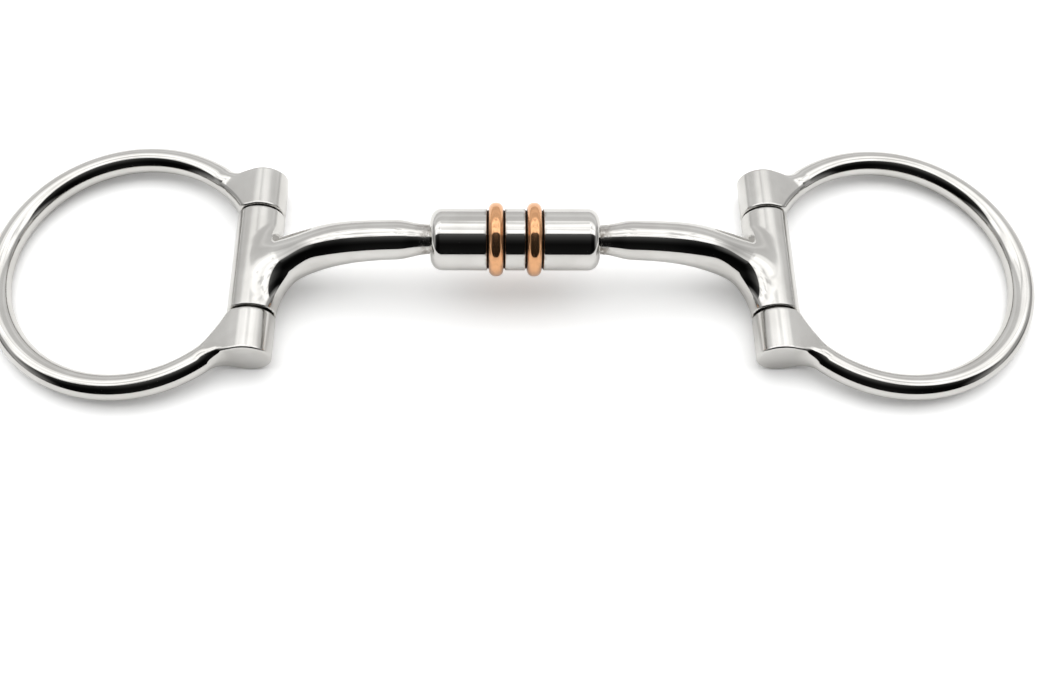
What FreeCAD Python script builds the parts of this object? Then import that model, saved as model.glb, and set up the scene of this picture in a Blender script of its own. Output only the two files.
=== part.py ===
import FreeCAD, Part
import math
import os

import Sketcher

# Dee-ring snaffle with a swivel barrel and two copper rollers.
# Frame: millimetres, +X to the right cheek, +Y away from the front of the bit, +Z up.
# The origin is on the surface that the bit lies on, under the middle of the barrel.
# Each cheek hinges about an axis along Y; each arm turns about the barrel's axis along X.
# Every side piece is drawn for the right side, and the left one is the same piece turned half way round Z.

doc = FreeCAD.newDocument("snaffle_bit")
sheet = doc.addObject("Spreadsheet::Sheet", "sizes")

SIZES = {
    # Mouthpiece and cheeks.
    "mouth_width": 127.0,
    "cheek_diameter": 12.8,
    "cheek_length": 31.0,
    "hinge_gap": 0.6,
    "lug_length": 12.3,
    "edge_round": 0.4,
    # Dee rings.
    "rod_diameter": 6.9,
    "ring_radius": 36.0,
    "ring_offset": 34.0,
    # Hinge pins and the plugs that close their holes.
    "pin_diameter": 6.0,
    "plug_length": 2.0,
    # Arms.
    "neck_diameter": 7.8,
    "body_diameter": 10.5,
    "root_diameter": 11.6,
    "root_flare": 8.0,
    # Barrel.
    "barrel_height": 19.7,
    "barrel_diameter": 16.3,
    "barrel_length": 44.4,
    "barrel_round": 2.2,
    "band_length": 5.4,
    "groove_width": 4.6,
    "end_wall": 4.0,
    # Copper rollers.
    "roller_diameter": 19.4,
    "roller_width": 3.9,
    "roller_round": 1.75,
    # Inside the barrel.
    "sleeve_diameter": 15.2,
    "sleeve_bore": 9.2,
    "spindle_diameter": 6.0,
    "bush_length": 8.6,
    "washer_thickness": 0.9,
    "collar_diameter": 8.6,
    "collar_length": 4.4,
    "cross_pin_diameter": 1.6,
    "stop_length": 6.0,
    # Clearances.
    "running_gap": 0.06,
    "end_play": 0.15,
}
for row, (alias, size) in enumerate(SIZES.items(), start=1):
    sheet.set(f"A{row}", alias)
    sheet.set(f"B{row}", str(size))
    sheet.setAlias(f"B{row}", alias)
doc.recompute()


class Length:
    """A length worked out from the sheet: its value now, and the expression that keeps it up to date."""

    def __init__(self, value, text):
        self.value = value
        self.text = text

    def join(self, sign, other, value):
        text = other.text if isinstance(other, Length) else str(other)
        return Length(value, f"({self.text} {sign} {text})")

    def __add__(self, other):
        return self.join("+", other, self.value + number(other))

    def __sub__(self, other):
        return self.join("-", other, self.value - number(other))

    def __mul__(self, other):
        return self.join("*", other, self.value * number(other))

    def __truediv__(self, other):
        return self.join("/", other, self.value / number(other))


def number(length):
    return length.value if isinstance(length, Length) else float(length)


def size(alias):
    return Length(sheet.get(alias), f"sizes.{alias}")


def bind(thing, settings):
    """Ties each named property to its length."""
    for name, length in settings.items():
        thing.setExpression(name, length.text)


# Sizes that several pieces share.
cheek_radius = size("cheek_diameter") / 2
rod_radius = size("rod_diameter") / 2
pin_radius = size("pin_diameter") / 2
pin_bore_radius = pin_radius + size("running_gap")
neck_radius = size("neck_diameter") / 2
spindle_radius = size("spindle_diameter") / 2
barrel_radius = size("barrel_diameter") / 2
sleeve_radius = size("sleeve_diameter") / 2
sleeve_bore_radius = size("sleeve_bore") / 2

# Stations along the hinge axis, measured from the middle of the cheek tube.
lug_start = size("cheek_length") / 2 + size("hinge_gap")
lug_end = lug_start + size("lug_length")
pin_end = lug_end - size("plug_length")

# Stations along the barrel's axis, measured from its middle.
band_end = size("band_length") / 2
shell_start = band_end + size("groove_width")
barrel_end = size("barrel_length") / 2
sleeve_end = barrel_end - size("end_wall")
bush_start = sleeve_end - size("bush_length")
washer_start = bush_start - size("washer_thickness")
collar_end = washer_start - size("end_play")
collar_start = collar_end - size("collar_length")
spindle_end = collar_start - size("edge_round")
shoulder = sleeve_end + size("end_play")
roller_centre = band_end + size("groove_width") / 2

# Places of the axes.
hinge_x = (size("mouth_width") + size("cheek_diameter")).value / 2
hinge_z = cheek_radius.value
barrel_z = sheet.get("barrel_height")
BARREL_CENTRE = FreeCAD.Vector(0, 0, barrel_z)
HINGE_CENTRE = FreeCAD.Vector(hinge_x, 0, hinge_z)
X_AXIS = FreeCAD.Vector(1, 0, 0)
Y_AXIS = FreeCAD.Vector(0, 1, 0)
Z_AXIS = FreeCAD.Vector(0, 0, 1)
NO_TURN = FreeCAD.Rotation()
HALF_TURN = FreeCAD.Placement(FreeCAD.Vector(), FreeCAD.Rotation(Z_AXIS, 180))

pieces = []


def keep(thing, label, placement, side="right"):
    """Gives a sub-part its name and place, turned to the left side if need be."""
    thing.Label = label
    thing.Placement = HALF_TURN.multiply(placement) if side == "left" else placement
    pieces.append(thing)
    return thing


def origin_plane(body, role):
    return next(item for item in body.Origin.OriginFeatures if item.Role == role)


def place_point(sketch, line, end, across, up):
    """Fixes one end of a line at a distance across and up from the sketch's origin."""
    for kind, distance in (("DistanceX", across), ("DistanceY", up)):
        number_now = number(distance)
        index = sketch.addConstraint(Sketcher.Constraint(kind, -1, 1, line, end, number_now))
        if isinstance(distance, Length):
            sketch.setExpression(f"Constraints[{index}]", distance.text)


def turned(name, outline):
    """A body turned about X: the outline lists (distance along X, radius) round the section."""
    body = doc.addObject("PartDesign::Body", name)
    sketch = body.newObject("Sketcher::SketchObject", name + "_section")
    sketch.AttachmentSupport = (origin_plane(body, "XZ_Plane"), [""])
    sketch.MapMode = "FlatFace"
    corners = [FreeCAD.Vector(number(along), number(radius), 0) for along, radius in outline]
    count = len(corners)
    for index, corner in enumerate(corners):
        sketch.addGeometry(Part.LineSegment(corner, corners[(index + 1) % count]), False)
    for index in range(count):
        sketch.addConstraint(Sketcher.Constraint("Coincident", index, 2, (index + 1) % count, 1))
    for index, (along, radius) in enumerate(outline):
        place_point(sketch, index, 1, along, radius)
    doc.recompute()
    turn = body.newObject("PartDesign::Revolution", name + "_turn")
    turn.Profile = sketch
    turn.ReferenceAxis = (sketch, ["H_Axis"])
    turn.Angle = 360
    doc.recompute()
    return body


def ring_edges(shape, along, radius):
    """Names of the circular edges about X at a station, with a radius."""
    names = []
    for index, edge in enumerate(shape.Edges, start=1):
        curve = edge.Curve
        if not isinstance(curve, Part.Circle):
            continue
        if abs(curve.Radius - number(radius)) < 1e-4 and abs(curve.Center.x - number(along)) < 1e-4:
            names.append(f"Edge{index}")
    return names


def round_rims(body, name, stations, radius_of_round):
    """Rounds the circular edges of a turned body at the stations given as (distance along X, radius)."""
    names = []
    for along, radius in stations:
        names += ring_edges(body.Shape, along, radius)
    base = body.Tip
    feature = body.newObject("PartDesign::Fillet", name)
    feature.Base = (base, names)
    bind(feature, {"Radius": radius_of_round})
    doc.recompute()


def rod(name, radius, start, end):
    """A plain round rod along X."""
    return turned(name, [(start, 0), (start, radius), (end, radius), (end, 0)])


def tube(name, outer, inner, start, end):
    """A plain tube along X."""
    return turned(name, [(start, inner), (start, outer), (end, outer), (end, inner)])


def cylinder(name, radius, length, centre, direction):
    """A cylinder centred on a point, for the joined and cut pieces."""
    thing = doc.addObject("Part::Cylinder", name)
    bind(thing, {"Radius": radius, "Height": length})
    turn = FreeCAD.Rotation(Z_AXIS, direction)
    middle = turn.multVec(FreeCAD.Vector(0, 0, length.value / 2))
    thing.Placement = FreeCAD.Placement(centre - middle, turn)
    return thing


def oval(name, centre, along, wide, high):
    """An elliptical section across a direction in the XZ plane: wide along Y, high across it."""
    thing = doc.addObject("Part::Ellipse", name)
    bind(thing, {"MajorRadius": wide, "MinorRadius": high})
    turn = FreeCAD.Rotation(Y_AXIS, along.cross(Y_AXIS), along, "ZXY")
    thing.Placement = FreeCAD.Placement(centre, turn)
    return thing


def loft(name, sections):
    thing = doc.addObject("Part::Loft", name)
    thing.Sections = sections
    thing.Solid = True
    thing.Ruled = False
    return thing


def fuse(name, parts):
    thing = doc.addObject("Part::MultiFuse", name)
    thing.Shapes = parts
    return thing


def cut(name, base, tool):
    thing = doc.addObject("Part::Cut", name)
    thing.Base = base
    thing.Tool = tool
    return thing


def rounded_ends(name, base, radius, ends):
    """Rounds the end circles of a cylinder that lies along Y."""
    doc.recompute()
    thing = doc.addObject("Part::Fillet", name)
    thing.Base = base
    rims = []
    for index, edge in enumerate(base.Shape.Edges, start=1):
        at_end = any(abs(edge.CenterOfMass.y - end.value) < 1e-4 for end in ends)
        if isinstance(edge.Curve, Part.Circle) and at_end:
            rims.append((index, radius, radius))
    thing.Edges = rims
    return thing


# ---- Barrel: two shells and a band pressed on a sleeve, with a bush and a washer at each end ----


def barrel_shell(side):
    # The end wall closes round the arm's neck with a running fit.
    name = side + "_barrel_shell"
    bore = neck_radius + size("running_gap")
    outline = [
        (shell_start, sleeve_radius),
        (shell_start, barrel_radius),
        (barrel_end, barrel_radius),
        (barrel_end, bore),
        (sleeve_end, bore),
        (sleeve_end, sleeve_radius),
    ]
    body = turned(name, outline)
    round_rims(body, name + "_nose", [(barrel_end, barrel_radius)], size("barrel_round"))
    round_rims(body, name + "_lip", [(shell_start, barrel_radius)], size("edge_round"))
    keep(body, name, FreeCAD.Placement(BARREL_CENTRE, NO_TURN), side)


def spindle_bush(side):
    bore = spindle_radius + size("running_gap")
    body = tube(side + "_spindle_bush", sleeve_bore_radius, bore, bush_start, sleeve_end)
    keep(body, side + "_spindle_bush", FreeCAD.Placement(BARREL_CENTRE, NO_TURN), side)


def thrust_washer(side):
    bore = spindle_radius + size("running_gap")
    body = tube(side + "_thrust_washer", sleeve_bore_radius, bore, washer_start, bush_start)
    keep(body, side + "_thrust_washer", FreeCAD.Placement(BARREL_CENTRE, NO_TURN), side)


def barrel_sleeve():
    body = tube("barrel_sleeve", sleeve_radius, sleeve_bore_radius, sleeve_end * -1, sleeve_end)
    keep(body, "barrel_sleeve", FreeCAD.Placement(BARREL_CENTRE, NO_TURN))


def barrel_band():
    name = "barrel_centre_band"
    body = tube(name, barrel_radius, sleeve_radius, band_end * -1, band_end)
    rims = [(band_end * -1, barrel_radius), (band_end, barrel_radius)]
    round_rims(body, name + "_lips", rims, size("edge_round"))
    keep(body, name, FreeCAD.Placement(BARREL_CENTRE, NO_TURN))


def centre_stop():
    # A slug in the middle of the sleeve keeps the two spindles apart.
    end = size("stop_length") / 2
    body = rod("centre_stop", sleeve_bore_radius, end * -1, end)
    keep(body, "centre_stop", FreeCAD.Placement(BARREL_CENTRE, NO_TURN))


def copper_roller(side):
    # A domed ring that runs on the sleeve between the band and a shell.
    name = side + "_copper_roller"
    start = roller_centre - size("roller_width") / 2
    end = roller_centre + size("roller_width") / 2
    outer = size("roller_diameter") / 2
    body = tube(name, outer, sleeve_radius + size("running_gap"), start, end)
    round_rims(body, name + "_dome", [(start, outer), (end, outer)], size("roller_round"))
    keep(body, name, FreeCAD.Placement(BARREL_CENTRE, NO_TURN), side)


# ---- Arms: cheek tube, bowed bar, neck and spindle in one forging, held in by a pinned collar ----

ROOT_SLOPE = 0.39
ROOT_HANDLE = 22.0
NECK_HANDLE = 32.0
BEND = Part.BezierCurve()
BEND.setPoles(
    [
        HINGE_CENTRE,
        HINGE_CENTRE + FreeCAD.Vector(-1, 0, ROOT_SLOPE) * ROOT_HANDLE,
        BARREL_CENTRE + X_AXIS * (barrel_end.value + NECK_HANDLE),
        BARREL_CENTRE + X_AXIS * barrel_end.value,
    ]
)
TAPER_LENGTH = 9.0
TAPER_STATIONS = 5
BODY_STATIONS = 6
FLARE_STEPS = (1.0, 0.62, 0.34, 0.14, 0.03)
FLARE_DEPTH = 1.5


def bend_at(across):
    """The point and direction of the arm's centreline at a distance from the bit's middle plane."""
    low, high = 0.0, 1.0
    for _ in range(50):
        middle = (low + high) / 2
        if BEND.value(middle).x > across:
            low = middle
        else:
            high = middle
    return BEND.value(low), BEND.tangent(low)[0]


def bar_sections(side):
    """Ovals along the bar: narrow at the neck, full in the middle, flared along the cheek at the root."""
    neck_end = barrel_end.value
    root_start = hinge_x - cheek_radius.value
    body_radius = size("body_diameter") / 2
    root_radius = size("root_diameter") / 2
    stations = []
    for step in range(TAPER_STATIONS):
        share = step / (TAPER_STATIONS - 1)
        across = neck_end + TAPER_LENGTH * share
        ease = share * share * (3 - 2 * share)
        radius = neck_radius + (body_radius - neck_radius) * ease
        stations.append((across, radius, radius))
    flare = size("root_flare")
    bar_end = neck_end + TAPER_LENGTH
    flare_start = root_start - flare.value
    for step in range(1, BODY_STATIONS):
        share = step / BODY_STATIONS
        across = bar_end + (flare_start - bar_end) * share
        radius = body_radius + (root_radius - body_radius) * share
        stations.append((across, radius, radius))
    for gap in FLARE_STEPS:
        # The side of the bar sweeps out along a quarter circle until it runs along the cheek tube.
        spread = 1 - math.sqrt(1 - (1 - gap) ** 2)
        stations.append((root_start - flare.value * gap, root_radius + flare * spread, root_radius))
    stations.append((root_start + FLARE_DEPTH, root_radius + flare * 0.95, root_radius * 0.9))
    sections = []
    for index, (across, wide, high) in enumerate(stations):
        centre, along = bend_at(across)
        sections.append(oval(f"{side}_bar_oval_{index}", centre, along, wide, high))
    return sections


def mouthpiece_arm(side):
    name = side + "_mouthpiece_arm"
    cheek = cylinder(name + "_cheek_rod", cheek_radius, size("cheek_length"), HINGE_CENTRE, Y_AXIS)
    half = size("cheek_length") / 2
    cheek = rounded_ends(name + "_cheek", cheek, sheet.get("edge_round"), [half * -1, half])
    bar = loft(name + "_bar", bar_sections(side))
    neck_length = barrel_end - shoulder
    neck_middle = BARREL_CENTRE + X_AXIS * ((barrel_end + shoulder).value / 2)
    neck = cylinder(name + "_neck", neck_radius, neck_length, neck_middle, X_AXIS)
    spindle_length = shoulder - spindle_end
    spindle_middle = BARREL_CENTRE + X_AXIS * ((shoulder + spindle_end).value / 2)
    spindle = cylinder(name + "_spindle", spindle_radius, spindle_length, spindle_middle, X_AXIS)
    blank = fuse(name + "_blank", [cheek, bar, neck, spindle])
    bore_length = size("cheek_length") * 1.2
    hinge_bore = cylinder(name + "_hinge_bore", pin_bore_radius, bore_length, HINGE_CENTRE, Y_AXIS)
    pin_hole = cross_pin_rod(name + "_pin_hole", size("collar_diameter") * 1.2)
    body = cut(name, blank, fuse(name + "_holes", [hinge_bore, pin_hole]))
    doc.recompute()
    keep(body, name, FreeCAD.Placement(), side)


def cross_pin_rod(name, length):
    centre = BARREL_CENTRE + X_AXIS * ((collar_start + collar_end).value / 2)
    return cylinder(name, size("cross_pin_diameter") / 2, length, centre, Y_AXIS)


def retaining_collar(side):
    name = side + "_retaining_collar"
    centre = BARREL_CENTRE + X_AXIS * ((collar_start + collar_end).value / 2)
    disc = cylinder(name + "_disc", size("collar_diameter") / 2, size("collar_length"), centre, X_AXIS)
    bore = cylinder(name + "_bore", spindle_radius, size("collar_length") * 1.2, centre, X_AXIS)
    hole = cross_pin_rod(name + "_pin_hole", size("collar_diameter") * 1.2)
    body = cut(name, disc, fuse(name + "_holes", [bore, hole]))
    doc.recompute()
    keep(body, name, FreeCAD.Placement(), side)


def collar_pin(side):
    # Filed to the collar's round, just short of its surface.
    name = side + "_collar_pin"
    body = cross_pin_rod(name, size("collar_diameter") * 0.96)
    doc.recompute()
    keep(body, name, body.Placement, side)


# ---- Cheeks: a round-rod ring whose ends swell into two lugs, a hinge pin and two plugs ----

# The ring's outer edge and the cheek tube both touch the surface that the bit lies on.
ring_reach = (size("ring_offset") + size("ring_radius")).value
ring_tilt = math.degrees(math.asin((cheek_radius - rod_radius).value / ring_reach))
CHEEK_PLACE = FreeCAD.Placement(HINGE_CENTRE, FreeCAD.Rotation(Y_AXIS, ring_tilt))
# Where the rod's end lies in the lug, as an angle round the ring from the hinge side.
ROD_END = 30.0
# How far out from the hinge axis the web narrows to the rod's thickness.
WEB_REACH = 9.0


def web(name, place, flip):
    """The web from the lug to the rod: it tapers in height, and its inner edge follows the ring's opening."""
    lug_middle = (lug_start + size("lug_length") / 2).value * flip
    tip_centre = FreeCAD.Vector(WEB_REACH, lug_middle, 0)
    tip = cylinder(f"{name}_{place}_web_tip", rod_radius, size("lug_length"), tip_centre, Y_AXIS)
    # The flanks touch both the lug's round and the tip's round without a corner.
    slope = math.asin((cheek_radius - rod_radius).value / WEB_REACH)
    flank = doc.addObject("Part::Wedge", f"{name}_{place}_web_flank")
    flank.Ymin = cheek_radius.value * math.sin(slope)
    flank.Ymax = WEB_REACH + rod_radius.value * math.sin(slope)
    for near, far, sign in (("Zmin", "Z2min", -1), ("Zmax", "Z2max", 1)):
        share = sign * math.cos(slope)
        bind(flank, {near: cheek_radius * share, far: rod_radius * share})
    for low, high in (("Xmin", "Xmax"), ("X2min", "X2max")):
        bind(flank, {low: size("lug_length") * -0.5, high: size("lug_length") * 0.5})
    turn = FreeCAD.Rotation(Y_AXIS, X_AXIS, Z_AXIS * -1, "XYZ")
    flank.Placement = FreeCAD.Placement(Y_AXIS * lug_middle, turn)
    opening = doc.addObject("Part::Cylinder", f"{name}_{place}_web_opening")
    bind(opening, {"Radius": size("ring_radius") - rod_radius, "Height": size("cheek_diameter") * 1.2})
    opening.Placement.Base = FreeCAD.Vector(sheet.get("ring_offset"), 0, -cheek_radius.value * 1.2)
    return cut(f"{name}_{place}_web", fuse(f"{name}_{place}_web_blank", [tip, flank]), opening)


def dee_ring(side):
    name = side + "_dee_ring"
    hoop = doc.addObject("Part::Torus", name + "_hoop")
    bind(hoop, {"Radius1": size("ring_radius"), "Radius2": rod_radius})
    hoop.Angle3 = 360 - 2 * ROD_END
    hoop.Placement = FreeCAD.Placement(
        X_AXIS * sheet.get("ring_offset"), FreeCAD.Rotation(Z_AXIS, 180 + ROD_END)
    )
    parts = [hoop]
    for place, flip in (("back", 1), ("front", -1)):
        centre = Y_AXIS * ((lug_start + size("lug_length") / 2).value * flip)
        lug = cylinder(f"{name}_{place}_lug_rod", cheek_radius, size("lug_length"), centre, Y_AXIS)
        ends = [lug_start * flip, lug_end * flip]
        lug = rounded_ends(f"{name}_{place}_lug", lug, sheet.get("edge_round"), ends)
        parts += [lug, web(name, place, flip)]
    blank = fuse(name + "_blank", parts)
    # The space between the lugs, where the cheek tube turns.
    window = doc.addObject("Part::Box", name + "_window")
    reach = size("cheek_diameter") * 0.55
    bind(window, {"Length": reach * 2, "Width": lug_start * 2, "Height": size("cheek_diameter") * 1.2})
    window.Placement.Base = FreeCAD.Vector(-reach.value, -lug_start.value, -cheek_radius.value * 1.2)
    bore = cylinder(name + "_bore", pin_radius, lug_end * 2.2, FreeCAD.Vector(), Y_AXIS)
    body = cut(name, blank, fuse(name + "_holes", [window, bore]))
    doc.recompute()
    keep(body, name, CHEEK_PLACE, side)


def hinge_pin(side):
    name = side + "_hinge_pin"
    body = cylinder(name, pin_radius, pin_end * 2, FreeCAD.Vector(), Y_AXIS)
    doc.recompute()
    keep(body, name, CHEEK_PLACE.multiply(body.Placement), side)


def pin_plug(side, place, flip):
    # Each end of the pin's hole is closed by a plug ground level with the lug's flat end.
    name = f"{side}_{place}_pin_plug"
    middle = Y_AXIS * ((pin_end + lug_end).value / 2 * flip)
    body = cylinder(name, pin_radius, size("plug_length"), middle, Y_AXIS)
    doc.recompute()
    keep(body, name, CHEEK_PLACE.multiply(body.Placement), side)


barrel_sleeve()
barrel_band()
centre_stop()
for hand in ("left", "right"):
    barrel_shell(hand)
    spindle_bush(hand)
    thrust_washer(hand)
    copper_roller(hand)
    mouthpiece_arm(hand)
    retaining_collar(hand)
    collar_pin(hand)
    dee_ring(hand)
    hinge_pin(hand)
    # The left cheek is the right one turned half way round, so its front end was the back one.
    back_flip = -1 if hand == "left" else 1
    pin_plug(hand, "back", back_flip)
    pin_plug(hand, "front", -back_flip)
doc.recompute()

for thing in doc.Objects:
    if "Invalid" in thing.State or "Error" in thing.State:
        raise RuntimeError(f"{thing.Label} failed: {thing.State}")
for piece in pieces:
    if piece.Shape.isNull() or not piece.Shape.isValid():
        raise RuntimeError(f"{piece.Label} has no valid shape")

os.makedirs("parts", exist_ok=True)
for piece in pieces:
    piece.Shape.exportStep(f"parts/{piece.Label}.step")
    print(f"{piece.Label:24s} solids {len(piece.Shape.Solids)} volume {piece.Shape.Volume:9.1f} mm3")
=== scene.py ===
import math

import bpy
import numpy as np
from mathutils import Matrix, Vector


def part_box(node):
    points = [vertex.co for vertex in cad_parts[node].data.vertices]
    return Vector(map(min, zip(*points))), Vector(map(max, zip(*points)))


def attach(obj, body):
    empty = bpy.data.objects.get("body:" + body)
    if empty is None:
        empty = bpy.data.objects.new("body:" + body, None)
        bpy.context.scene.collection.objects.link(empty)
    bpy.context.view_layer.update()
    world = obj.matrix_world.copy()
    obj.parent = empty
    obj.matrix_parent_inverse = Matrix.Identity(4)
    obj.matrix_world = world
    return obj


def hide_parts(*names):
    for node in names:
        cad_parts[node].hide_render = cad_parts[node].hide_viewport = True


# A dee-ring snaffle bit with a swivel barrel and two copper rollers, on a white table.
# Shapes are worked out in millimetres, in the frame's own axes: +X to the right cheek,
# +Y away from the camera, +Z up. Every left piece is the right one mirrored.

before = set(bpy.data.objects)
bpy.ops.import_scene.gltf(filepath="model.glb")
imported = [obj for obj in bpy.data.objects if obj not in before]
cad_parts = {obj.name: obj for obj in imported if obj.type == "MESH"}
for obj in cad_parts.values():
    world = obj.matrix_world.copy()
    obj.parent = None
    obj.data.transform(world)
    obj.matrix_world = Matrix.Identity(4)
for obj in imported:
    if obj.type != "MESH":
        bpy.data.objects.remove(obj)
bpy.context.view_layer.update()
MM = 0.001
BOTH_SIDES = (("right", 1), ("left", -1))


# ---- Sizes and places, from the frame ----


def box_mm(node):
    low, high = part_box(node)
    return np.array(low) / MM, np.array(high) / MM


def middle(node):
    low, high = box_mm(node)
    return (low + high) / 2


def extent(node):
    low, high = box_mm(node)
    return high - low


# The barrel lies along X through this point.
BARREL_CENTRE = middle("barrel_sleeve")
BARREL_RADIUS = extent("barrel_centre_band")[1] / 2
BARREL_END = box_mm("right_barrel_shell")[1][0]
SHELL_START = box_mm("right_barrel_shell")[0][0]
BAND_END = extent("barrel_centre_band")[0] / 2
SLEEVE_RADIUS = extent("barrel_sleeve")[1] / 2
SLEEVE_END = extent("barrel_sleeve")[0] / 2
ROLLER_RADIUS = extent("right_copper_roller")[1] / 2
ROLLER_WIDTH = extent("right_copper_roller")[0]
ROLLER_CENTRE = middle("right_copper_roller")[0]

# The right cheek hinges along Y through this point.
HINGE = middle("right_hinge_pin")
CHEEK_RADIUS = HINGE[2]
CHEEK_HALF = extent("right_mouthpiece_arm")[1] / 2
PIN_RADIUS = extent("right_hinge_pin")[0] / 2
LUG_END = -box_mm("right_front_pin_plug")[0][1]
# The gap between each end of a cheek tube and the lug beside it.
HINGE_GAP = 0.6
LUG_START = CHEEK_HALF + HINGE_GAP
SPINDLE_END = box_mm("right_mouthpiece_arm")[0][0]
SPINDLE_RADIUS = 3.0
NECK_RADIUS = 3.9
RUNNING_GAP = 0.06
END_PLAY = 0.15
EDGE_ROUND = 0.4

# Each ring is a round rod on a circle whose centre is RING_OFFSET out from the hinge. It tilts
# until its far side rests on the table.
ROD_RADIUS = 3.45
RING_RADIUS = extent("right_dee_ring")[1] / 2 - ROD_RADIUS
RING_OFFSET = 34.0
RING_TILT = math.asin((CHEEK_RADIUS - ROD_RADIUS) / (RING_OFFSET + RING_RADIUS))


# ---- Smooth solids: a distance function sampled on a grid, then drawn onto its zero surface ----

GRID_STEP = 0.4
# The empty room round a solid inside its grid.
SPARE = 1.0
# How many times the mesh's points are moved onto the true surface.
SETTLING_STEPS = 5


def slope(distance, points, nudge=0.01):
    """How steeply the distance changes along each axis."""
    parts = []
    for axis in range(3):
        shift = np.zeros(3)
        shift[axis] = nudge
        parts.append((distance(points + shift) - distance(points - shift)) / (2 * nudge))
    return np.stack(parts, -1)


def unit(vectors):
    return vectors / np.maximum(np.linalg.norm(vectors, axis=-1, keepdims=True), 1e-9)


def common(first, second, edge):
    """The overlap of two solids, with the edge between them rounded."""
    a = first + edge
    b = second + edge
    return np.minimum(np.maximum(a, b), 0) + np.hypot(np.maximum(a, 0), np.maximum(b, 0)) - edge


def blended(first, first_slope, second, second_slope, fillet):
    """The union of two solids, with a fillet wherever their surfaces meet at an angle."""
    turn = np.clip(1 - (first_slope * second_slope).sum(-1), 0, 1)
    radius = fillet * turn * (2 - turn)
    corner = np.hypot(np.maximum(radius - first, 0), np.maximum(radius - second, 0))
    return np.maximum(radius, np.minimum(first, second)) - corner


def crossing_points(values, inside, axes):
    """The middle of the surface's crossings in each grid cell, and each cell's point number."""
    shape = tuple(count - 1 for count in values.shape)
    total = np.zeros(shape + (3,))
    count = np.zeros(shape)
    corner = np.stack(np.meshgrid(*[axis[:-1] for axis in axes], indexing="ij"), -1)
    step = axes[0][1] - axes[0][0]

    def part(array, offset):
        return array[tuple(slice(o, o + n) for o, n in zip(offset, shape))]

    for axis in range(3):
        others = [k for k in range(3) if k != axis]
        for code in range(4):
            start = np.zeros(3, int)
            start[others[0]] = code % 2
            start[others[1]] = code // 2
            end = start.copy()
            end[axis] = 1
            a, b = part(values, start), part(values, end)
            crossed = part(inside, start) != part(inside, end)
            share = np.where(crossed, a / np.where(a == b, 1, a - b), 0)
            spot = np.array(start, float) * np.ones(shape + (3,))
            spot[..., axis] += share
            total += np.where(crossed[..., None], spot, 0)
            count += crossed
    used = count > 0
    points = corner[used] + total[used] / count[used][:, None] * step
    index = np.full(shape, -1)
    index[used] = np.arange(len(points))
    return points, index


def faces_between(inside, index):
    """A four-sided face round every grid edge that the surface crosses, facing outwards."""
    faces = []
    for axis in range(3):
        order = [axis, (axis + 1) % 3, (axis + 2) % 3]
        signs = np.transpose(inside, order)
        cells = np.transpose(index, order)
        near = signs[:-1, 1:-1, 1:-1]
        crossed = near != signs[1:, 1:-1, 1:-1]
        around = (cells[:, 1:, 1:], cells[:, :-1, 1:], cells[:, :-1, :-1], cells[:, 1:, :-1])
        loops = np.stack([part[crossed] for part in around], -1)
        loops[~near[crossed]] = loops[~near[crossed]][:, ::-1]
        faces.append(loops)
    return np.concatenate(faces)


def mesh_of(name, points, faces, normals):
    """A mesh in metres with its own smooth normals."""
    mesh = bpy.data.meshes.new(name)
    mesh.from_pydata((points * MM).tolist(), [], faces.tolist())
    mesh.polygons.foreach_set("use_smooth", np.ones(len(mesh.polygons), bool))
    mesh.normals_split_custom_set_from_vertices(normals.tolist())
    mesh.update()
    return mesh


def solid_surface(distance, low, high):
    """Points, faces and normals of the surface where the distance is zero."""
    step = GRID_STEP
    axes = [np.arange(low[k], high[k] + step, step) for k in range(3)]
    grid = np.stack(np.meshgrid(*axes, indexing="ij"), -1)
    values = distance(grid.reshape(-1, 3)).reshape(grid.shape[:3])
    inside = values < 0
    points, index = crossing_points(values, inside, axes)
    faces = faces_between(inside, index)
    for _ in range(SETTLING_STEPS):
        steep = slope(distance, points)
        reach = distance(points) / np.maximum((steep**2).sum(-1), 0.1)
        points = points - np.clip(reach, -step, step)[:, None] * steep
    return points, faces, unit(slope(distance, points))


def mirrored(points):
    return points * np.array([-1, 1, 1])


def add_piece(name, points, faces, normals, side, body, nodes, paint, slot):
    """Adds one side's piece from the right side's shape."""
    if side < 0:
        points = mirrored(points)
        normals = mirrored(normals)
        faces = faces[:, ::-1]
    mesh = mesh_of(name, points, faces, normals)
    piece = bpy.data.objects.new(name, mesh)
    bpy.context.scene.collection.objects.link(piece)
    mesh.materials.append(paint)
    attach(piece, body)
    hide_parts(*nodes)
    return piece


# ---- Arms ----

ROOT_SLOPE = 0.39
ROOT_HANDLE = 22.0
NECK_HANDLE = 32.0
BODY_RADIUS = 5.25
ROOT_RADIUS = 5.8
FRONT_FILLET = 6.5
BACK_FILLET = 5.0
# How much wider than high the front half of the bar is at its root.
FRONT_SPREAD = 0.5
SPREAD_RANGE = (HINGE[0] - 18.0, HINGE[0] - 3.0)
# How far either side of the middle the front half fades into the back half.
FRONT_BLEND = 5.0
# Where the bar thickens from the neck to its body, and from its body to its root.
NECK_SWELL = (BARREL_END - 0.5, BARREL_END + 10.0)
ROOT_SWELL = (BARREL_END + 5.0, BARREL_END + 36.0)
# Newton steps towards the nearest place on the centreline, and the least they divide by.
NEAREST_STEPS = 6
LEAST_BOTTOM = 100.0
BEND = np.array(
    [
        HINGE,
        HINGE + np.array([-1, 0, ROOT_SLOPE]) * ROOT_HANDLE,
        BARREL_CENTRE + np.array([BARREL_END + NECK_HANDLE, 0, 0]),
        BARREL_CENTRE + np.array([BARREL_END, 0, 0]),
    ]
)


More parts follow.
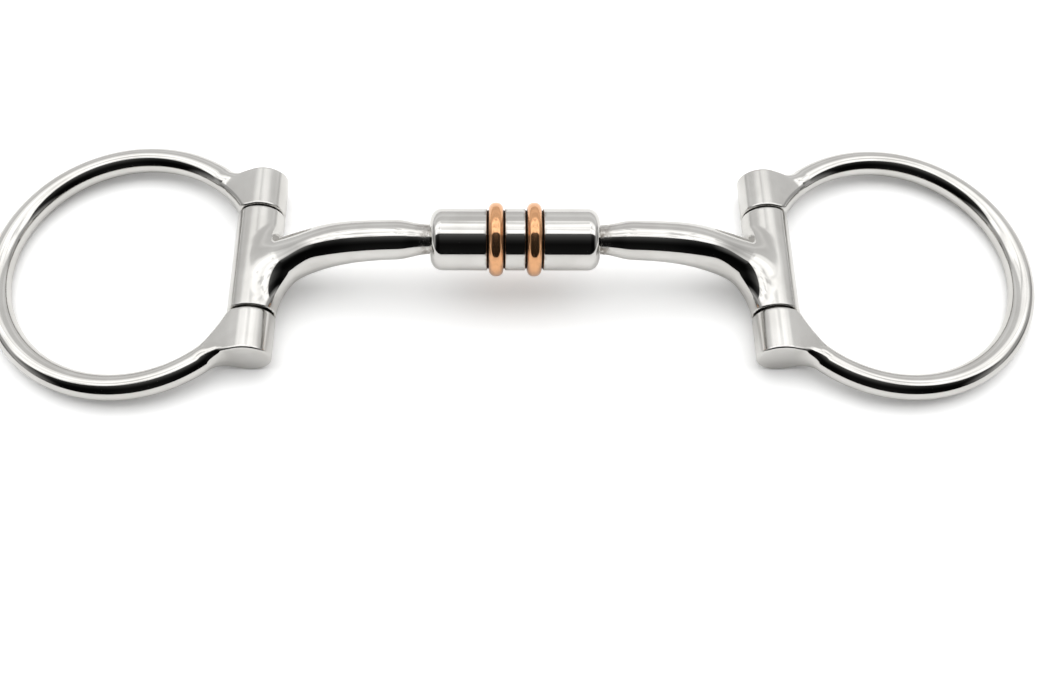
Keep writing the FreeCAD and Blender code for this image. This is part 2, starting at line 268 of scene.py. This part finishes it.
def ease(value, low, high):
    """A step from 0 to 1 with no kink in its slope or its bend."""
    share = np.clip((value - low) / (high - low), 0, 1)
    return share**3 * (share * (share * 6 - 15) + 10)


def bend_at(share):
    """Point, first and second derivative of the arm's centreline."""
    t = share[:, None]
    s = 1 - t
    first, second, third, last = BEND
    point = s**3 * first + 3 * s * s * t * second + 3 * s * t * t * third + t**3 * last
    rate = 3 * (s * s * (second - first) + 2 * s * t * (third - second) + t * t * (last - third))
    change = 6 * (s * (third - 2 * second + first) + t * (last - 2 * third + second))
    return point, rate, change


def nearest_on_bend(points):
    """The place on the centreline nearest to each point."""
    shares = np.linspace(0, 1, 65)
    across = bend_at(shares)[0][:, 0]
    share = np.interp(-points[:, 0], -across, shares)
    flat = points * np.array([1, 0, 1])
    for _ in range(NEAREST_STEPS):
        point, rate, change = bend_at(share)
        away = point - flat
        bottom = (rate * rate).sum(-1) + (away * change).sum(-1)
        share = np.clip(share - (away * rate).sum(-1) / np.maximum(bottom, LEAST_BOTTOM), 0, 1)
    return bend_at(share)[0]


def bar_radius(across):
    swell = (BODY_RADIUS - NECK_RADIUS) * ease(across, *NECK_SWELL)
    return NECK_RADIUS + swell + (ROOT_RADIUS - BODY_RADIUS) * ease(across, *ROOT_SWELL)


def arm_distance(points):
    """The right arm: cheek tube, bowed bar, neck and spindle."""
    from_hinge = (points - HINGE) * np.array([1, 0, 1])
    radial = np.linalg.norm(from_hinge, axis=-1)
    along = np.abs(points[:, 1])
    cheek = common(radial - CHEEK_RADIUS, along - CHEEK_HALF, EDGE_ROUND)
    centre = nearest_on_bend(points)
    front = ease(-points[:, 1], -FRONT_BLEND, FRONT_BLEND)
    spread = 1 + FRONT_SPREAD * front * ease(points[:, 0], *SPREAD_RANGE)
    stretch = np.stack([np.ones_like(spread), spread, np.ones_like(spread)], -1)
    away = (points - centre) / stretch
    bar = np.linalg.norm(away, axis=-1) - bar_radius(centre[:, 0])
    fillet = BACK_FILLET + (FRONT_FILLET - BACK_FILLET) * front
    arm = blended(cheek, unit(from_hinge), bar, unit(away / stretch), fillet)
    arm = np.maximum(arm, along - CHEEK_HALF)
    inward = BARREL_END - points[:, 0]
    from_axis = np.linalg.norm((points - BARREL_CENTRE)[:, 1:], axis=-1)
    shoulder = SLEEVE_END + END_PLAY
    neck = np.maximum(from_axis - NECK_RADIUS, np.maximum(shoulder - points[:, 0], -inward))
    spindle_ends = np.maximum(SPINDLE_END - points[:, 0], -inward)
    spindle = np.maximum(from_axis - SPINDLE_RADIUS, spindle_ends)
    arm = np.where(inward > 0, np.maximum(arm, inward), arm)
    arm = np.minimum(arm, np.minimum(neck, spindle))
    return np.maximum(arm, PIN_RADIUS + RUNNING_GAP - radial)


def add_arms(paint):
    low = (SPINDLE_END - SPARE, -CHEEK_HALF - SPARE, -SPARE)
    top = BARREL_CENTRE[2] + BODY_RADIUS + SPARE
    high = (HINGE[0] + CHEEK_RADIUS + SPARE, CHEEK_HALF + SPARE, top)
    shape = solid_surface(arm_distance, low, high)
    for hand, side in BOTH_SIDES:
        name = hand + "_arm_forging"
        nodes = [hand + "_mouthpiece_arm"]
        add_piece(name, *shape, side, hand + "_arm", nodes, paint, "stainless_steel")


# ---- Cheek rings ----

# Where the rod ends inside the lug, as an angle round the ring from the hinge side.
ROD_END = math.radians(37.0)
# How far out from the hinge axis the web narrows to the rod's thickness.
WEB_REACH = 9.0
INNER_ROUND = 2.0
# How far out from the hinge axis the space between the lugs is cleared for the cheek tube.
WINDOW_REACH = CHEEK_RADIUS * 1.1
# The rounding of the lug's end faces, which grows along the web until it is nearly the rod's round.
FACE_ROUND = 0.6
ROD_EDGE_ROUND = 3.0
ROUND_GROWS = (1.0, 16.0)
ROD_FILLET = 4.0
LUG_HALF = (LUG_END - LUG_START) / 2
LUG_MIDDLE = (LUG_END + LUG_START) / 2


def web_section(out, up):
    """Lug and web seen along the hinge: a large round and a small one, joined by their tangents."""
    sine = (CHEEK_RADIUS - ROD_RADIUS) / WEB_REACH
    cosine = math.sqrt(1 - sine * sine)
    up = np.abs(up)
    along = up * -sine + out * cosine
    flank = out * sine + up * cosine - CHEEK_RADIUS
    lug = np.hypot(out, up) - CHEEK_RADIUS
    tip = np.hypot(out - WEB_REACH, up) - ROD_RADIUS
    return np.where(along < 0, lug, np.where(along > WEB_REACH * cosine, tip, flank))


def web_distance(points):
    out, across, up = points.T
    inner = RING_RADIUS - ROD_RADIUS - np.hypot(out - RING_OFFSET, across)
    section = common(web_section(out, up), inner, INNER_ROUND)
    edge = FACE_ROUND + (ROD_EDGE_ROUND - FACE_ROUND) * ease(out, *ROUND_GROWS)
    return common(section, np.abs(np.abs(across) - LUG_MIDDLE) - LUG_HALF, edge)


def rod_distance(points):
    out, across, up = points.T
    angle = np.arctan2(np.abs(across), RING_OFFSET - out)
    held = np.maximum(angle, ROD_END)
    centre_out = RING_OFFSET - RING_RADIUS * np.cos(held)
    centre_across = RING_RADIUS * np.sin(held)
    from_centre = np.hypot(out - centre_out, np.abs(across) - centre_across)
    return np.hypot(from_centre, up) - ROD_RADIUS


def dee_distance(points):
    """The right cheek, lying flat with its hinge along Y through the origin."""
    web = web_distance(points)
    web_slope = unit(slope(web_distance, points))
    rod = rod_distance(points)
    rod_slope = unit(slope(rod_distance, points))
    dee = blended(web, web_slope, rod, rod_slope, ROD_FILLET)
    out, across, up = points.T
    window = np.maximum(np.abs(across) - LUG_START, out - WINDOW_REACH)
    return np.maximum(dee, -window)


def add_dees(paint):
    reach = RING_OFFSET + RING_RADIUS + ROD_RADIUS + SPARE
    wide = RING_RADIUS + ROD_RADIUS + SPARE
    thick = CHEEK_RADIUS + SPARE
    points, faces, normals = solid_surface(dee_distance, (-thick, -wide, -thick), (reach, wide, thick))
    turn = np.array(Matrix.Rotation(RING_TILT, 3, "Y"))
    shape = (points @ turn.T + HINGE, faces, normals @ turn.T)
    for hand, side in BOTH_SIDES:
        name = hand + "_cheek_ring"
        nodes = [hand + "_dee_ring", hand + "_front_pin_plug", hand + "_back_pin_plug"]
        add_piece(name, *shape, side, hand + "_dee", nodes, paint, "stainless_steel")


# ---- Camera: in front of the bit and above it, close enough for clear perspective ----

CAMERA_PLACE = Vector((-4.56, -170.37, 282.95)) * MM
CAMERA_ELEVATION = math.radians(62.37)
CAMERA_YAW = math.radians(-2.84)
CAMERA_ROLL = math.radians(2.54)
CAMERA_LENS = 40.76
SENSOR = 36.0


def add_camera():
    data = bpy.data.cameras.new("camera")
    data.lens = CAMERA_LENS
    data.sensor_width = SENSOR
    data.clip_start = 0.01
    data.clip_end = 100.0
    camera = bpy.data.objects.new("camera", data)
    turn = Matrix.Rotation(CAMERA_YAW, 4, "Z")
    turn = turn @ Matrix.Rotation(math.pi / 2 - CAMERA_ELEVATION, 4, "X")
    turn = turn @ Matrix.Rotation(CAMERA_ROLL, 4, "Z")
    camera.matrix_world = Matrix.Translation(CAMERA_PLACE) @ turn
    bpy.context.scene.collection.objects.link(camera)
    bpy.context.scene.camera = camera


# ---- Node helpers ----


def new_tree(holder):
    holder.use_nodes = True
    tree = holder.node_tree
    tree.nodes.clear()
    return tree


def feed(tree, value, socket):
    """Sets a socket to a plain value, or links another node's output to it."""
    if isinstance(value, bpy.types.NodeSocket):
        tree.links.new(value, socket)
    else:
        socket.default_value = value


def node(tree, kind, **inputs):
    made = tree.nodes.new("ShaderNode" + kind)
    for name, value in inputs.items():
        feed(tree, value, made.inputs[name.replace("_", " ")])
    return made


def maths(tree, operation, *values):
    made = tree.nodes.new("ShaderNodeMath")
    made.operation = operation
    for socket, value in zip(made.inputs, values):
        feed(tree, value, socket)
    return made.outputs[0]


def step_between(tree, value, low, high):
    """A smooth step from 0 at low to 1 at high."""
    made = tree.nodes.new("ShaderNodeMapRange")
    made.interpolation_type = "SMOOTHSTEP"
    feed(tree, value, made.inputs["Value"])
    feed(tree, low, made.inputs["From Min"])
    feed(tree, high, made.inputs["From Max"])
    return made.outputs["Result"]


def mix(tree, share, first, second):
    """first where share is 0, second where it is 1, for plain numbers."""
    made = tree.nodes.new("ShaderNodeMix")
    made.data_type = "FLOAT"
    for name, value in (("Factor", share), ("A", first), ("B", second)):
        feed(tree, value, made.inputs[name])
    return made.outputs["Result"]


def mix_colour(tree, share, first, second):
    made = tree.nodes.new("ShaderNodeMix")
    made.data_type = "RGBA"
    sockets = [made.inputs[0], made.inputs[6], made.inputs[7]]
    for socket, value in zip(sockets, (share, first, second)):
        feed(tree, value, socket)
    return made.outputs[2]


def curve_through(tree, value, stops):
    """A number that follows straight lines between the stops, each a place and a height."""
    span = stops[-1][0]
    top = max(height for _, height in stops)
    ramp = tree.nodes.new("ShaderNodeValToRGB")
    points = ramp.color_ramp.elements
    while len(points) < len(stops):
        points.new(1.0)
    for point, (place, height) in zip(points, stops):
        point.position = place / span
        point.color = (height / top, height / top, height / top, 1)
    feed(tree, maths(tree, "DIVIDE", value, span), ramp.inputs["Fac"])
    return maths(tree, "MULTIPLY", ramp.outputs["Color"], top)


# ---- Studio: a white table, a long softbox overhead and behind, a dark room in front ----

DEGREES = 180 / math.pi
# Light by the angle over the bit: 0 at the front horizon, 90 straight up, 180 at the back horizon.
OVERHEAD = (
    (0, 0.012),
    (40, 0.006),
    (52, 0.018),
    (66, 0.06),
    (78, 0.14),
    (80, 1.5),
    (94, 1.75),
    (101, 1.35),
    (109, 1.6),
    (117, 1.75),
    (122, 1.35),
    (127, 1.3),
    (131, 0.84),
    (146, 0.8),
    (156, 0.96),
    (166, 0.82),
    (180, 0.78),
)
# Light by the angle away to the side, beyond the softbox's ends.
ASIDE = ((0, 0.9), (48, 0.88), (56, 0.58), (64, 0.42), (71, 0.55), (78, 0.32), (90, 0.14))
# Where the side light begins to take over, in degrees away to the side.
SIDE_START = 48.0
# What shows past the table's edge.
BACKGROUND_LIGHT = 0.78
# The softbox is uneven, like cloud: where the cloud turns from dim to bright, and its light there.
CLOUD_EDGES = (0.36, 0.5)
CLOUD_LIGHT = (0.68, 1.08)
# Light between these begins to be the softbox's, and only the softbox is uneven.
SOFTBOX_LIGHT = (0.9, 1.1)
# The softbox's front edge, in degrees over the bit, and the dark room in front of it.
SOFTBOX_EDGE = 80.0
ROOM_EDGE = 78.0
# Where the softbox and the room end, in degrees away to the side.
SOFTBOX_SIDE = 66.0
ROOM_SIDE = 76.0
# The room in front darkens away from the middle.
ROOM_DIMS = (8.0, 30.0)
ROOM_DIM_LIGHT = 0.35


def add_studio_light():
    world = bpy.data.worlds.new("studio")
    tree = new_tree(world)
    place = node(tree, "TexCoord").outputs["Generated"]
    x, y, z = node(tree, "SeparateXYZ", Vector=place).outputs
    forward = maths(tree, "MULTIPLY", y, -1.0)
    over = maths(tree, "MULTIPLY", maths(tree, "ARCTAN2", z, forward), DEGREES)
    aside = maths(tree, "MULTIPLY", maths(tree, "ARCSINE", maths(tree, "ABSOLUTE", x)), DEGREES)
    above = curve_through(tree, over, OVERHEAD)
    beside = curve_through(tree, aside, ASIDE)
    cloud = node(tree, "TexNoise", Vector=place, Scale=5.0, Detail=3.0, Roughness=0.6)
    uneven = mix(tree, step_between(tree, cloud.outputs["Fac"], *CLOUD_EDGES), *CLOUD_LIGHT)
    bright = step_between(tree, above, *SOFTBOX_LIGHT)
    above = maths(tree, "MULTIPLY", above, mix(tree, bright, 1.0, uneven))
    in_front = step_between(tree, over, SOFTBOX_EDGE, ROOM_EDGE)
    side_end = mix(tree, in_front, SOFTBOX_SIDE, ROOM_SIDE)
    dim = mix(tree, step_between(tree, aside, *ROOM_DIMS), 1.0, ROOM_DIM_LIGHT)
    above = maths(tree, "MULTIPLY", above, mix(tree, in_front, 1.0, dim))
    light = mix(tree, step_between(tree, aside, SIDE_START, side_end), above, beside)
    seen = node(tree, "LightPath").outputs["Is Camera Ray"]
    light = mix(tree, seen, light, BACKGROUND_LIGHT)
    glow = node(tree, "Background", Color=(1, 1, 1, 1), Strength=light)
    out = node(tree, "OutputWorld")
    feed(tree, glow.outputs[0], out.inputs["Surface"])
    bpy.context.scene.world = world
    bpy.context.scene.view_settings.view_transform = "Standard"


# A wide panel over the bit and a little behind it, in metres, which isn't reflected.
PANEL_WIDTH = 2.0
PANEL_DEPTH = 1.3
PANEL_WATTS = 8.5
PANEL_PLACE = (0, 0.3, 0.8)


def add_table_light():
    data = bpy.data.lights.new("table_light", "AREA")
    data.shape = "RECTANGLE"
    data.size = PANEL_WIDTH
    data.size_y = PANEL_DEPTH
    data.energy = PANEL_WATTS
    panel = bpy.data.objects.new("table_light", data)
    panel.location = PANEL_PLACE
    panel.visible_glossy = False
    panel.visible_camera = False
    bpy.context.scene.collection.objects.link(panel)


FLOOR_SIZE = 12.0
FLOOR_COLOUR = (0.96, 0.96, 0.955, 1)
# A little light of its own, which lifts the shadows but isn't reflected.
FLOOR_GLOW = 0.14


def add_floor():
    bpy.ops.mesh.primitive_plane_add(size=FLOOR_SIZE)
    floor = bpy.context.object
    floor.name = "floor"
    paint = bpy.data.materials.new("floor_white")
    tree = new_tree(paint)
    shader = node(tree, "BsdfPrincipled", Base_Color=FLOOR_COLOUR, Roughness=0.6)
    feed(tree, (1, 1, 1, 1), shader.inputs["Emission Color"])
    seen = node(tree, "LightPath").outputs["Is Camera Ray"]
    feed(tree, maths(tree, "MULTIPLY", seen, FLOOR_GLOW), shader.inputs["Emission Strength"])
    feed(tree, 0.2, shader.inputs["Specular IOR Level"])
    feed(tree, shader.outputs[0], node(tree, "OutputMaterial").inputs["Surface"])
    floor.data.materials.append(paint)


# ---- Materials ----

DULL_STEEL = (0.575, 0.563, 0.54, 1)
BRIGHT_STEEL = (0.64, 0.63, 0.608, 1)
GRIME_COLOUR = (0.16, 0.135, 0.11, 1)
GRIME_ROUGHNESS = 0.5
COPPER_COLOUR = (0.76, 0.405, 0.205, 1)
# Dark copper, for faint tarnish patches and for painted shade on the rollers' flanks.
TARNISH_AND_SHADE_COLOUR = (0.3, 0.135, 0.065, 1)
# How deep the marks of polishing and turning are, in metres.
WAVE_DEPTH = 0.000014
COPPER_MARK_DEPTH = 0.000012
TURNING_DEPTH = 0.00001


def noise(tree, place, scale, stretch=(1, 1, 1), detail=3.0):
    """Cloudy noise; scale is in features a metre, stretch squeezes it along an axis."""
    turn = node(tree, "Mapping", Vector=place)
    feed(tree, tuple(scale * s for s in stretch), turn.inputs["Scale"])
    return node(tree, "TexNoise", Vector=turn.outputs[0], Scale=1.0, Detail=detail).outputs["Fac"]


def metal(name, colour_of, rough_of, bump_of, metallic=1.0):
    """A metal; its colour, roughness and bump come from functions of the tree and the place."""
    paint = bpy.data.materials.new(name)
    tree = new_tree(paint)
    place = node(tree, "TexCoord").outputs["Object"]
    shader = node(tree, "BsdfPrincipled", Metallic=metallic)
    feed(tree, colour_of(tree, place), shader.inputs["Base Color"])
    feed(tree, rough_of(tree, place), shader.inputs["Roughness"])
    height, depth = bump_of(tree, place)
    bump = node(tree, "Bump", Strength=1.0, Distance=depth, Height=height)
    feed(tree, bump.outputs[0], shader.inputs["Normal"])
    feed(tree, shader.outputs[0], node(tree, "OutputMaterial").inputs["Surface"])
    return paint


def hypotenuse(tree, a, b):
    """The square root of the sum of two squares."""
    squares = maths(tree, "ADD", maths(tree, "POWER", a, 2.0), maths(tree, "POWER", b, 2.0))
    return maths(tree, "SQRT", squares)


def from_middle(tree, place):
    """Distance from the bit's middle plane."""
    x = node(tree, "SeparateXYZ", Vector=place).outputs[0]
    return maths(tree, "ABSOLUTE", x)


def grime_on_arm(tree, place):
    """How dirty the arm is: patchy, and only where the neck goes into the barrel."""
    x = from_middle(tree, place)
    near = step_between(tree, x, (BARREL_END + 5.0) * MM, (BARREL_END - 0.5) * MM)
    patch = step_between(tree, noise(tree, place, 700.0), 0.35, 0.7)
    return maths(tree, "MULTIPLY", near, maths(tree, "MULTIPLY_ADD", patch, 0.7, 0.25))


def grime_on_barrel(tree, place):
    """Dirt that the rollers leave at the edges of their grooves."""
    x = from_middle(tree, place)
    shell = step_between(tree, x, (SHELL_START + 1.1) * MM, SHELL_START * MM)
    shell = maths(tree, "MULTIPLY", shell, maths(tree, "GREATER_THAN", x, (SHELL_START - 0.5) * MM))
    band = step_between(tree, x, (BAND_END - 0.9) * MM, BAND_END * MM)
    band = maths(tree, "MULTIPLY", band, maths(tree, "LESS_THAN", x, (BAND_END + 0.5) * MM))
    patch = step_between(tree, noise(tree, place, 500.0, (0.5, 1, 1)), 0.38, 0.66)
    edges = maths(tree, "MAXIMUM", shell, band)
    return maths(tree, "MULTIPLY", edges, maths(tree, "MULTIPLY", patch, 0.6))


def on_cheek(tree, place):
    """1 on the round of the cheek tubes and lugs, 0 on the bars, webs and rods."""
    x, _, z = node(tree, "SeparateXYZ", Vector=place).outputs
    out = maths(tree, "SUBTRACT", maths(tree, "ABSOLUTE", x), HINGE[0] * MM)
    up = maths(tree, "SUBTRACT", z, HINGE[2] * MM)
    radius = hypotenuse(tree, out, up)
    return step_between(tree, radius, (CHEEK_RADIUS + 0.9) * MM, (CHEEK_RADIUS + 0.05) * MM)


def polished_steel(name, grime_of, rough, satin=0.0):
    """Mirror steel: faint smears, waves from hand polishing, and dirt where grime_of puts it.

    satin is how much rougher the cheek tubes and lugs are, with fine lines along them."""

    def colour_of(tree, place):
        smear = step_between(tree, noise(tree, place, 90.0, detail=4.0), 0.3, 0.7)
        clean = mix_colour(tree, smear, DULL_STEEL, BRIGHT_STEEL)
        if grime_of is None:
            return clean
        return mix_colour(tree, grime_of(tree, place), clean, GRIME_COLOUR)

    def rough_of(tree, place):
        smear = step_between(tree, noise(tree, place, 260.0), 0.35, 0.75)
        clean = mix(tree, smear, rough, rough + 0.04)
        if satin:
            clean = maths(tree, "MULTIPLY_ADD", on_cheek(tree, place), satin, clean)
        if grime_of is None:
            return clean
        return mix(tree, grime_of(tree, place), clean, GRIME_ROUGHNESS)

    def bump_of(tree, place):
        waves = noise(tree, place, 150.0, detail=2.0)
        if satin:
            lines = noise(tree, place, 900.0, (1, 0.05, 1), detail=2.0)
            lines = maths(tree, "MULTIPLY", lines, on_cheek(tree, place))
            waves = maths(tree, "MULTIPLY_ADD", lines, 0.5, waves)
        return waves, WAVE_DEPTH

    return metal(name, colour_of, rough_of, bump_of)


def copper():
    """Polished copper with painted shade, darker towards the roller's flanks where they dip into the
    groove, and faint tarnish patches.
    """

    # The mask: painted shade down the flanks, with faint random tarnish patches on top.
    def tarnish_and_shade(tree, place):
        spot = node(tree, "VectorMath", Vector=place)
        spot.operation = "SUBTRACT"
        feed(tree, tuple(BARREL_CENTRE * MM), spot.inputs[1])
        _, y, z = node(tree, "SeparateXYZ", Vector=spot.outputs[0]).outputs
        radius = hypotenuse(tree, y, z)
        # Painted shade: darker from just under the crown down the flanks.
        flank_shade = step_between(tree, radius, (ROLLER_RADIUS - 0.2) * MM, (ROLLER_RADIUS - 2.1) * MM)
        patch = step_between(tree, noise(tree, place, 800.0), 0.3, 0.8)
        return maths(tree, "MAXIMUM", flank_shade, maths(tree, "MULTIPLY", patch, 0.2))

    def colour_of(tree, place):
        return mix_colour(tree, tarnish_and_shade(tree, place), COPPER_COLOUR, TARNISH_AND_SHADE_COLOUR)

    def rough_of(tree, place):
        return mix(tree, tarnish_and_shade(tree, place), 0.08, 0.3)

    def bump_of(tree, place):
        return noise(tree, place, 500.0, (6, 1, 1)), COPPER_MARK_DEPTH

    return metal("copper", colour_of, rough_of, bump_of, metallic=0.96)


def plain_steel(name, light, dark, rough):
    """Turned steel that doesn't show, or near black as painted shade on a groove's walls."""

    def colour_of(tree, place):
        return mix_colour(tree, noise(tree, place, 600.0), light, dark)

    def rough_of(tree, place):
        return mix(tree, noise(tree, place, 300.0), rough, rough + 0.2)

    def bump_of(tree, place):
        return noise(tree, place, 900.0, (4, 1, 1)), TURNING_DEPTH

    return metal(name, colour_of, rough_of, bump_of)


# ---- Barrel: pieces turned about its axis ----

TURN_STEPS = 160
ROUND_STEPS = 10
BARREL_ROUND = 3.2
GROOVE_ROUND = 0.35
ROLLER_ROUND = 1.75


def turned_outline(corners):
    """Points and outward normals of a closed outline (distance along, radius) with rounded corners.

    Each corner is (along, radius, how much it is rounded), listed anticlockwise."""
    places = np.array([corner[:2] for corner in corners], float)
    points, normals = [], []
    for index, corner in enumerate(corners):
        here = places[index]
        before = unit(here - places[index - 1])
        after = unit(places[(index + 1) % len(corners)] - here)
        turn = math.atan2(before[0] * after[1] - before[1] * after[0], before @ after)
        start = here - before * corner[2] * math.tan(abs(turn) / 2)
        side = np.array([before[1], -before[0]])
        centre = start - side * corner[2] * np.sign(turn)
        for step in range(ROUND_STEPS + 1):
            angle = turn * step / ROUND_STEPS
            c, s = math.cos(angle), math.sin(angle)
            out = np.array([side[0] * c - side[1] * s, side[0] * s + side[1] * c])
            points.append(centre + out * corner[2] * np.sign(turn))
            normals.append(out)
    return np.array(points), np.array(normals)


def turned(corners):
    """The outline turned about the barrel's axis."""
    outline, out = turned_outline(corners)
    angles = np.linspace(0, 2 * math.pi, TURN_STEPS, endpoint=False)
    around = np.stack([np.cos(angles), np.sin(angles)], -1)
    count = len(outline)

    def swept(flat):
        along = np.repeat(flat[None, :, 0], TURN_STEPS, 0)
        across = flat[None, :, 1] * around[:, :1]
        up = flat[None, :, 1] * around[:, 1:]
        return np.stack([along, across, up], -1).reshape(-1, 3)

    row, column = np.meshgrid(np.arange(TURN_STEPS), np.arange(count), indexing="ij")
    next_row = (row + 1) % TURN_STEPS
    next_column = (column + 1) % count
    loops = (row, column), (next_row, column), (next_row, next_column), (row, next_column)
    faces = np.stack([(r * count + c).ravel() for r, c in loops], -1)
    return swept(outline) + BARREL_CENTRE, faces[:, ::-1], swept(out)


def shell_shape():
    bore = NECK_RADIUS + RUNNING_GAP
    return turned(
        [
            (SHELL_START, SLEEVE_RADIUS, 0.05),
            (SLEEVE_END, SLEEVE_RADIUS, 0.05),
            (SLEEVE_END, bore, 0.05),
            (BARREL_END, bore, 0.25),
            (BARREL_END, BARREL_RADIUS, BARREL_ROUND),
            (SHELL_START, BARREL_RADIUS, GROOVE_ROUND),
        ]
    )


def band_shape():
    return turned(
        [
            (-BAND_END, SLEEVE_RADIUS, 0.05),
            (BAND_END, SLEEVE_RADIUS, 0.05),
            (BAND_END, BARREL_RADIUS, GROOVE_ROUND),
            (-BAND_END, BARREL_RADIUS, GROOVE_ROUND),
        ]
    )


def roller_shape():
    start = ROLLER_CENTRE - ROLLER_WIDTH / 2
    end = ROLLER_CENTRE + ROLLER_WIDTH / 2
    bore = SLEEVE_RADIUS + RUNNING_GAP
    return turned(
        [
            (start, bore, 0.15),
            (end, bore, 0.15),
            (end, ROLLER_RADIUS, ROLLER_ROUND),
            (start, ROLLER_RADIUS, ROLLER_ROUND),
        ]
    )


def darken_groove_walls(piece, groove_shade):
    """Gives the faces that look into a groove the near-black material, painted shade for the groove's
    depth.
    """
    piece.data.materials.append(groove_shade)
    centre = BARREL_CENTRE * MM
    for face in piece.data.polygons:
        spot = face.center
        radius = math.hypot(spot.y - centre[1], spot.z - centre[2])
        in_groove = abs(spot.x) < (SHELL_START + 0.1) * MM and radius < (BARREL_RADIUS - 0.3) * MM
        face.material_index = 1 if in_groove else 0


def add_barrel(steel, copper_paint, groove_shade):
    nodes = ["barrel_centre_band"]
    band = add_piece("middle_band", *band_shape(), 1, "barrel", nodes, steel, "stainless_steel")
    darken_groove_walls(band, groove_shade)
    shell = shell_shape()
    roller = roller_shape()
    for hand, side in BOTH_SIDES:
        name = hand + "_barrel_half"
        nodes = [hand + "_barrel_shell"]
        half = add_piece(name, *shell, side, "barrel", nodes, steel, "stainless_steel")
        darken_groove_walls(half, groove_shade)
        name = hand + "_copper_ring"
        nodes = [hand + "_copper_roller"]
        add_piece(name, *roller, side, hand + "_roller", nodes, copper_paint, "copper")


add_camera()
add_studio_light()
add_table_light()
add_floor()
turned_steel = plain_steel("turned_steel", (0.5, 0.49, 0.47, 1), (0.4, 0.39, 0.37, 1), 0.3)
# Near black for the grooves' walls and the sleeve seen down them: painted shade.
groove_painted_shade = plain_steel("groove_painted_shade", (0.035, 0.028, 0.022, 1), (0.012, 0.01, 0.008, 1), 0.55)
for name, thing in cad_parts.items():
    thing.data.materials.clear()
    # The barrel's sleeve shows only down the grooves, so it takes the same painted shade.
    thing.data.materials.append(groove_painted_shade if name == "barrel_sleeve" else turned_steel)
add_barrel(polished_steel("barrel_steel", grime_on_barrel, 0.03), copper(), groove_painted_shade)
add_arms(polished_steel("arm_steel", grime_on_arm, 0.03, satin=0.13))
add_dees(polished_steel("ring_steel", None, 0.06, satin=0.1))
